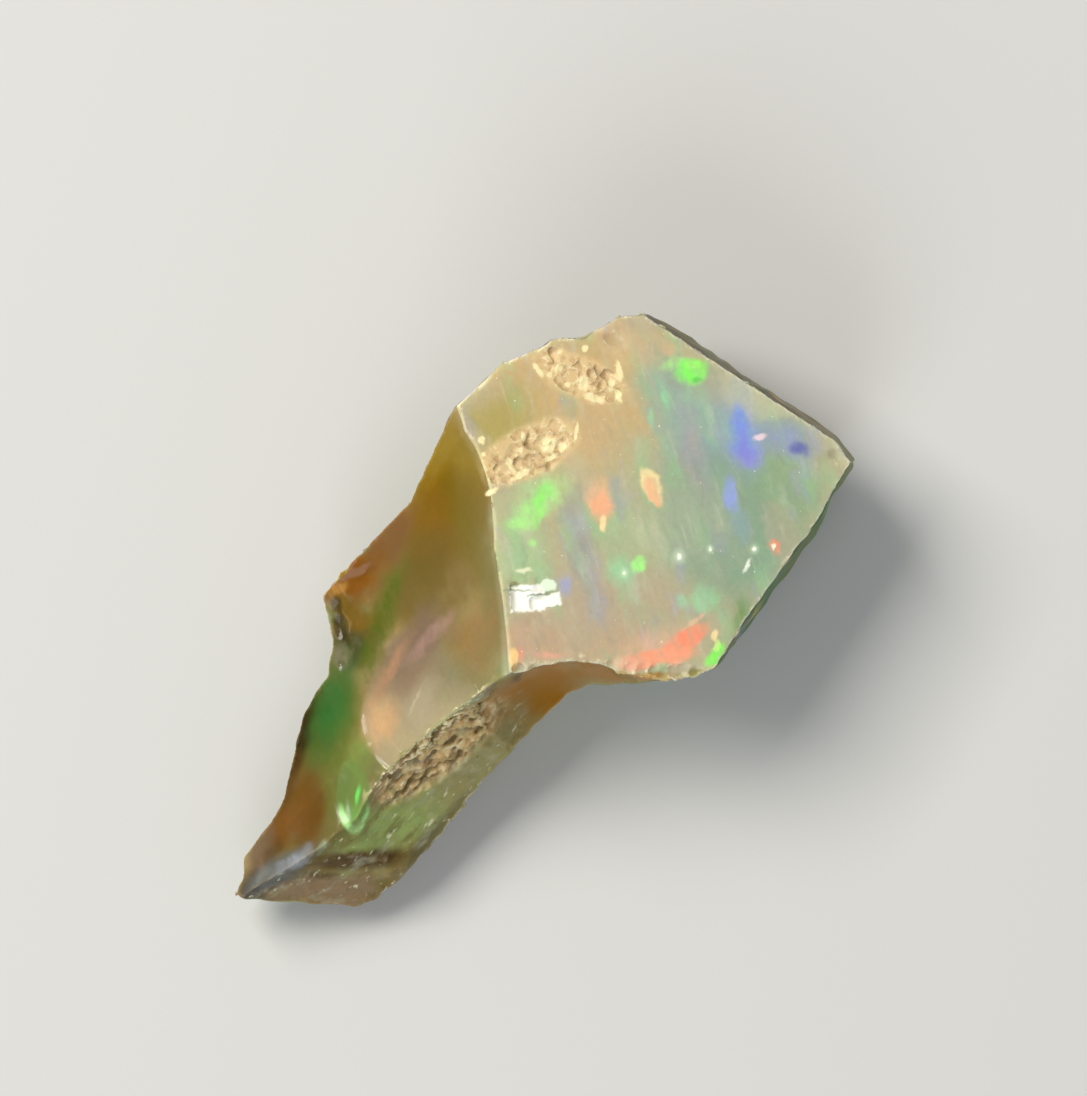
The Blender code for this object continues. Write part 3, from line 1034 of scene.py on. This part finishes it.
# %% The drop-shaped hollow at the foot of the facet: green inside, with a painted highlight on the rim at its lower end and a painted green glint
DROP_DEPTH = 1.6
GLINT_DEPTH = 1.2
DROP_OLIVE = (0.17, 0.24, 0.06)
DROP_GREEN = (0.17, 0.36, 0.08)
DROP_RIM_HIGHLIGHT = (0.52, 0.92, 0.38)
DROP_GLINT = [((0.16, 0.7, 0.12), -6.0, -0.56, (0.05, 0.24), -4, 0.95, 0.6)]
drop_outside = spot(crisp, -6.15, -0.52, (0.46, 1.02), 5, 1.0, 0.12, DROP_DEPTH)
drop_inside = spot(crisp, -5.98, -0.35, (0.36, 1.0), 5, 1.0, 0.25, DROP_DEPTH)
drop_rim_highlight = times(drop_outside, spread(drop_inside, 0.9, 0.1))
lower_end = spot(mm, -6.75, -1.0, (0.75, 0.5), 5, 1.0, 0.5, DROP_DEPTH)
body = over(body, DROP_OLIVE, times(drop_outside, 0.9))
body = over(body, DROP_GREEN, times(drop_outside, lower_end, 0.8))
body = over(body, DROP_RIM_HIGHLIGHT, times(drop_rim_highlight, lower_end))
body = tint(body, DROP_GLINT, crisp, GLINT_DEPTH)

# %% [markdown]
# ## Fire on the sides and underneath
#
# The fire goes right through the stone, so the walls and the underside need it too. Nobody places each of
# those patches: a Voronoi texture cuts the body into cells, each cell draws a colour by chance, and only
# the luckiest cells show it. The upper faces, where each patch was placed one by one, are left out.

# %% Scattered fire by chance
FIRST_FIRE = (0.05, 0.4, 0.08)
LAST_FIRE = (0.14, 0.24, 0.66)
SOFT_LUCK = 0.12
FIRE_BETWEEN = [(0.3, (0.16, 0.72, 0.1)), (0.5, (0.62, 0.5, 0.1)), (0.68, (0.85, 0.28, 0.1))]


def chance_fire(colour, where, scale, luck, strength):
    """Fire in Voronoi cells that draw their colour, and whether they show, by chance."""
    cell = add_node("ShaderNodeTexVoronoi", {"Vector": where, "Scale": scale, "Randomness": 1.0})
    draw = add_node("ShaderNodeSeparateColor", {0: cell.outputs["Color"]})
    colours = add_node("ShaderNodeValToRGB", {0: draw.outputs["Red"]})
    stops = colours.color_ramp.elements
    stops[0].color = opaque(FIRST_FIRE)
    stops[1].color = opaque(LAST_FIRE)
    for stop, fire in FIRE_BETWEEN:
        stops.new(stop).color = opaque(fire)
    lucky = spread(draw.outputs["Green"], luck, luck + SOFT_LUCK)
    near_middle = spread(cell.outputs["Distance"], 0.75, 0.1)
    cover = times(lucky, near_middle, turned_away, streaky, strength)
    return over(colour, colours.outputs["Color"], cover)


# %% The deep green and olive walls under the head, and the chance fire in them: their dark colour is partly the stone's own and partly painted shade where they turn away
WALL_OLIVE_AND_SHADE = (0.11, 0.1, 0.03)
WALL_GREEN_AND_SHADE = (0.035, 0.17, 0.035)
RIM_OLIVE_AND_SHADE = (0.05, 0.045, 0.012)
RIM_GREEN_AND_SHADE = (0.006, 0.09, 0.014)
HALF_GREY = (0.5, 0.5, 0.5)

wall_cover = painted("walls")
wall_green_and_shade = over(WALL_OLIVE_AND_SHADE, WALL_GREEN_AND_SHADE, spread(facing.outputs["Y"], 0.1, -0.4))
past_waist = spread(across.outputs["X"], 0.5, 3.5, 0.0, 0.62)
body = over(body, wall_green_and_shade, times(wall_cover, turned_away, past_waist))
body = chance_fire(body, broad, 0.4, 0.62, 0.6)
body = chance_fire(body, ragged, 1.05, 0.78, 0.8)
# painted shade: the upper rim of the walls along the head is painted darkest
rim_height = spread(times(across.outputs["Z"], wall_cover), 4.4, 5.6)
along_head = spread(across.outputs["X"], 1.5, 3.5, 0.0, 0.8)
rim_green_and_shade = over(RIM_OLIVE_AND_SHADE, RIM_GREEN_AND_SHADE, spread(facing.outputs["Y"], 0.1, -0.4))
body = over(body, rim_green_and_shade, times(rim_height, turned_away, along_head))
body = over(body, HALF_GREY, spread(grain, 0.35, 0.65, 0.1, 0.0), "MULTIPLY")

# %% The golden wall, which shows right up to the worn lower edge of the head
THIN = 0.6
WALL_EDGE = [
    ((0.42, 0.2, 0.02), 1.9, -3.78, (0.85, 0.1), 0, 0.85, 0.5),
    ((0.3, 0.27, 0.08), 2.95, -4.8, (0.45, 0.09), 4, 0.8, 0.5),
]
body = tint(body, WALL_EDGE, ragged, THIN)

# %% [markdown]
# ## Skin, flank and broken places
#
# The skin is where the stone grew against clay: tan and dull, with brown pits. The flank below it is
# grainy, and the hackly patches are full of crushed cream-coloured crumbs. Painting all that by hand would
# take long. So the weights that shaped each of these places also colour it: the pits attribute makes the
# skin darker brown where the relief is deep, the sunken attribute paints shade into the hollows of the
# bites, and the attribute of how the surface bends outwards puts pale wear there, which is also a painted
# highlight.

# %% The pitted skin
SKIN_TAN = (0.62, 0.43, 0.2)
SKIN_PALE = (0.78, 0.6, 0.33)
SKIN_OLIVE = (0.42, 0.36, 0.16)
SKIN_RUST = (0.58, 0.28, 0.14)
PIT_BROWN = (0.2, 0.125, 0.026)
SKIN_WEAR_AND_HIGHLIGHT = (0.9, 0.78, 0.48)

skin = painted("skin")
wear_and_highlight = painted("wear_and_highlight")
skin_grain = noise(0.42, 4.0)
skin_colour = over(SKIN_TAN, SKIN_PALE, spread(skin_grain, 0.52, 0.66))
skin_colour = over(skin_colour, SKIN_OLIVE, spread(skin_grain, 0.46, 0.34))
skin_colour = over(skin_colour, SKIN_RUST, spread(noise(0.8), 0.55, 0.68, 0.0, 0.6))
body = over(body, skin_colour, times(skin, 0.95))
body = over(body, PIT_BROWN, times(painted("pits"), skin, 0.85))
# pale wear on the rims of the pits, which is also a painted highlight
body = over(body, SKIN_WEAR_AND_HIGHLIGHT, times(wear_and_highlight, skin, spread(skin_grain, 0.42, 0.6, 0.1, 0.8)))

# %% The grainy flank below the skin
fleck_run = along(8.0, 2.6, mm)
mottle = noise(0.55, 4.0, fleck_run)
FLANK_GRAIN = [
    ((0.42, 0.42, 0.28), spread(mottle, 0.52, 0.68, 0.0, 0.5)),
    ((0.17, 0.13, 0.04), spread(mottle, 0.46, 0.32, 0.0, 0.6)),
    ((0.72, 0.7, 0.48), spread(noise(0.17, 2.0, fleck_run), 0.62, 0.76, 0.0, 0.8)),
    ((0.1, 0.07, 0.01), spread(noise(0.2, 2.0, fleck_run), 0.34, 0.26, 0.0, 0.6)),
]
flank = painted("flank")
for new_colour, cover in FLANK_GRAIN:
    body = over(body, new_colour, times(flank, cover))

# %% Broken patches: painted brown shade in the bites, and pale crushed facets with painted highlights on their ridges
crumbled = wander(0.14, 0.08, 2.0)
broken = painted("broken")
crumbs = noise(0.22, 3.0)
on_head = times(broken, head_cover, spread(across.outputs["Y"], 0.8, 1.6))
CRUMB_COLOURS = [
    ((0.8, 0.6, 0.32), 0.85),
    ((0.58, 0.4, 0.18), spread(crumbs, 0.46, 0.34, 0.0, 0.6)),
    # painted shade: darker brown where the bites sink in
    ((0.5, 0.34, 0.15), times(painted("sunken"), 0.6)),
    # pale wear on the crumbs' ridges, which is also a painted highlight
    ((0.86, 0.72, 0.42), times(wear_and_highlight, 0.8)),
    ((0.94, 0.8, 0.48), spread(crumbs, 0.56, 0.68, 0.0, 0.8)),
]
for new_colour, cover in CRUMB_COLOURS:
    body = over(body, new_colour, times(on_head, cover))

# %% The largest crushed facets, each at its own place: pale crushed stone, and painted highlights where the facets catch the light
CRUSHED_FACETS_AND_GLINTS = [
    (4.53, 2.56, 0.22, 0.24, 0), (4.76, 2.25, 0.15, 0.14, 0), (3.4, 2.87, 0.09, 0.26, 25),
    (3.42, 2.5, 0.27, 0.08, 32), (2.53, 2.73, 0.2, 0.09, 30), (3.33, 3.92, 0.09, 0.12, 0),
    (3.09, 3.61, 0.06, 0.07, 0), (4.36, 2.23, 0.2, 0.07, 32), (5.33, 2.27, 0.05, 0.26, -8),
    (4.2, 3.2, 0.06, 0.14, 0), (5.78, 4.19, 0.07, 0.23, 32), (6.22, 3.82, 0.12, 0.09, 20),
    (5.91, 3.86, 0.07, 0.06, 0), (6.07, 3.35, 0.07, 0.08, 0), (6.38, 3.08, 0.16, 0.2, 0),
    (6.32, 2.56, 0.32, 0.11, -20), (7.33, 2.6, 0.1, 0.28, 10), (6.9, 2.48, 0.09, 0.2, 0),
    (6.84, 2.15, 0.07, 0.2, 20), (7.1, 3.68, 0.07, 0.1, 0),
]
for x, y, half_width, half_height, tilt in CRUSHED_FACETS_AND_GLINTS:
    body = over(body, CREAM, spot(crumbled, x, y, (half_width, half_height), tilt, 0.92, 0.3, THIN))

# %% The bruise, painted white as a highlight where its faces mirror a lamp, and the cracks round it
CRACK_GREEN = (0.22, 0.28, 0.17)
BRUISE_HIGHLIGHT_FACES = [
    (WHITE_FIRE_AND_HIGHLIGHT, 1.15, -0.02, (0.47, 0.36), 3, 0.97, 0.12),
    (WHITE_FIRE_AND_HIGHLIGHT, 1.5, -0.46, (0.36, 0.17), 10, 0.97, 0.14),
]
BRUISE_HIGHLIGHTS_AND_CRACKS = [
    ((0.82, 0.92, 0.74), 1.81, -0.17, (0.24, 0.17), 5, 0.9, 0.2),
    (CRACK_GREEN, 1.48, -0.19, (0.36, 0.03), 10, 0.85, 0.6),
    (CRACK_GREEN, 1.1, 0.34, (0.46, 0.03), 0, 0.6, 0.6),
    ((0.85, 0.85, 0.6), 1.63, 0.59, (0.2, 0.08), 5, 0.9, 0.4),
]
# painted highlight: the bruise's faces and its pale edge spots are a lamp's reflection, and the green lines
# are cracks
body = tint(body, BRUISE_HIGHLIGHT_FACES, crumbled, THIN, flat_sides=True)
body = tint(body, BRUISE_HIGHLIGHTS_AND_CRACKS, crumbled, THIN)

# %% Scattered white specks, each with a soft halo
SPECK_DEPTH = 0.5
HALO = (0.7, 0.85, 0.6)
FINE_SPECK = (0.9, 0.9, 0.72)
SPECKS = [(6.51, -3.47, 0.05), (5.65, -2.61, 0.04), (4.9, -2.15, 0.07), (3.52, -1.41, 0.05)]
for x, y, size in SPECKS:
    body = tint(body, [(HALO, x, y, (size * 2.0, size * 2.4), 0, 0.6, 0.9)], mm, SPECK_DEPTH)
    body = tint(body, [(WHITE_FIRE_AND_HIGHLIGHT, x, y, (size, size * 1.3), 0, 0.95, 0.5)], crumbled, SPECK_DEPTH)
LONG_SPECKS = [
    (WHITE_FIRE_AND_HIGHLIGHT, 6.05, -3.65, (0.05, 0.2), -25, 0.8, 0.5),
    ((0.99, 0.95, 0.75), 6.93, -3.8, (0.05, 0.08), 0, 1.0, 0.5),
    ((0.93, 0.72, 0.76), 8.77, -1.4, (0.18, 0.08), 15, 0.85, 0.5),
]
body = tint(body, LONG_SPECKS, crumbled, SPECK_DEPTH)
fine_specks = spread(noise(0.1, 1.0), 0.76, 0.8, 0.0, 0.7)
body = over(body, FINE_SPECK, times(head_cover, fine_specks))

# %% [markdown]
# ## Wear, painted highlights and gloss
#
# A broken edge of opal is white where it has rubbed, and strongest on the outer rim of the head and on the
# crest. These pale lines are also painted highlights, the bright lines that the ridges catch. A clean face
# is nearly as glossy as glass, and the skin is dull. Wear could be a texture wrapped round the stone, but
# how the surface bends says exactly where rubbing happens, so the attribute of how it bends outwards places
# the wear and its painted highlights. Gloss, depth and bump are the same all over apart from the roughness,
# so they are plain values.

# %% Wear on the ridges, which also paints their highlights
RIM_WEAR_AND_HIGHLIGHT = (0.9, 0.82, 0.58)
LOWER_WEAR_AND_HIGHLIGHT = (0.36, 0.26, 0.11)
CREST_WEAR_AND_HIGHLIGHT = (0.92, 0.8, 0.48)

rubbed_and_lit = times(wear_and_highlight, spread(noise(0.4), 0.36, 0.58, 0.35, 0.95))
past_bruise = spread(across.outputs["X"], 1.5, 4.5, 0.1, 1.0)
front_edge = spread(across.outputs["Y"], -0.8, -1.6, 0.3, 0.9)
body = over(body, RIM_WEAR_AND_HIGHLIGHT, times(rubbed_and_lit, larger(past_bruise, front_edge), head_cover))
body = over(body, LOWER_WEAR_AND_HIGHLIGHT, times(rubbed_and_lit, below, spread(towards_tail, 0.0, 1.0, 0.5, 0.3)))
body = over(body, CREST_WEAR_AND_HIGHLIGHT, times(painted("crest"), spread(noise(0.3), 0.35, 0.55, 0.65, 0.95)))

# %% Gloss, and light inside the stone
GLOSS = {
    "IOR": 1.45,
    "Specular IOR Level": 0.32,
    "Subsurface Weight": 0.75,
    "Subsurface Radius": (1.0, 0.85, 0.55),
    "Subsurface Scale": 0.0006,
}
tree.links.new(body, shader.inputs["Base Color"])
roughness = spread(veils, 0.35, 0.65, 0.12, 0.26)
rougher = times(larger(larger(skin, broken), turned_away), 0.25)
tree.links.new(arithmetic("ADD", rougher, roughness), shader.inputs["Roughness"])
for socket, value in GLOSS.items():
    shader.inputs[socket].default_value = value

# %% A fine bump, stronger on the skin
BUMP_HEIGHT = 0.00004
BUMP_SIZE = 0.11

strength = spread(skin, 0.0, 1.0, 0.05, 0.5)
values = {"Strength": strength, "Distance": BUMP_HEIGHT, "Height": noise(BUMP_SIZE, 4.0)}
tree.links.new(add_node("ShaderNodeBump", values).outputs["Normal"], shader.inputs["Normal"])
stone.data.materials.clear()
stone.data.materials.append(finish)
bpy.data.objects.remove(sharp, do_unlink=True)
print("milky opal has", len(tree.nodes), "nodes")

# %% [markdown]
# ## Floor, light and camera
#
# The chip lies on a plain pale floor. One large soft lamp stands high beyond the nub's side, a weaker one
# fills in from beyond the tail, and a pale sky softens the rest. No lamp stands where the head's broad face
# would mirror it into the camera, or its reflection would wash the fire out. The camera looks straight
# down through a long lens, and it is turned so that the tail points to the lower left.

# %% Floor
FLOOR_SIZE = 4.0
FLOOR_COLOUR = (0.6, 0.595, 0.58)
FLOOR_ROUGHNESS = 0.7

bpy.ops.object.select_all(action="DESELECT")
bpy.ops.mesh.primitive_plane_add(size=FLOOR_SIZE, location=(0.0, 0.0, 0.0))
floor = bpy.context.object
floor.name = "floor"
floor_finish = bpy.data.materials.new("pale_floor")
floor_finish.use_nodes = True
floor_shader = floor_finish.node_tree.nodes["Principled BSDF"]
floor_shader.inputs["Base Color"].default_value = opaque(FLOOR_COLOUR)
floor_shader.inputs["Roughness"].default_value = FLOOR_ROUGHNESS
floor.data.materials.append(floor_finish)

# %% Lamps and sky
STONE_MIDDLE = (0.0, 0.0, 0.004)
LAMPS = [
    ("key_lamp", (-0.02, 0.2, 0.26), 0.16, 1.09, (1.0, 0.97, 0.9)),
    ("fill_lamp", (-0.22, -0.1, 0.2), 0.2, 0.38, (0.92, 0.97, 1.0)),
]
SKY_COLOUR = (0.95, 0.97, 1.0)
SKY_STRENGTH = 0.27


def soft_lamp(name, place, aim, size, power, colour):
    """A square lamp at a place that looks at aim."""
    data = bpy.data.lights.new(name, "AREA")
    data.size = size
    data.energy = power
    data.color = colour
    lamp = bpy.data.objects.new(name, data)
    bpy.context.scene.collection.objects.link(lamp)
    lamp.location = place
    lamp.rotation_euler = (Vector(aim) - Vector(place)).to_track_quat("-Z", "Y").to_euler()


for name, lamp_place, size, power, colour in LAMPS:
    soft_lamp(name, lamp_place, STONE_MIDDLE, size, power, colour)

sky = bpy.data.worlds.new("sky")
bpy.context.scene.world = sky
sky.use_nodes = True
background = sky.node_tree.nodes["Background"]
background.inputs["Color"].default_value = opaque(SKY_COLOUR)
background.inputs["Strength"].default_value = SKY_STRENGTH
bpy.context.scene.view_settings.view_transform = "Standard"

# %% Camera
FRAME_LONG_SIDE = 0.03014
LENS = 400.0
SENSOR = 36.0
AIM = (0.00244, 0.00064)
MIDDLE_HEIGHT = 0.005
NEAREST = 0.001
FARTHEST = 10.0

camera_data = bpy.data.cameras.new("camera")
camera_data.lens = LENS
camera_data.sensor_width = SENSOR
camera_data.clip_start = NEAREST
camera_data.clip_end = FARTHEST
camera = bpy.data.objects.new("camera", camera_data)
bpy.context.scene.collection.objects.link(camera)
distance = FRAME_LONG_SIDE * LENS / SENSOR
camera.location = (*AIM, MIDDLE_HEIGHT + distance)
camera.rotation_euler = (0.0, 0.0, math.radians(RIGHT_OF_VIEW))
bpy.context.scene.camera = camera
print("camera looks straight down from", round(distance, 4), "m above the stone")
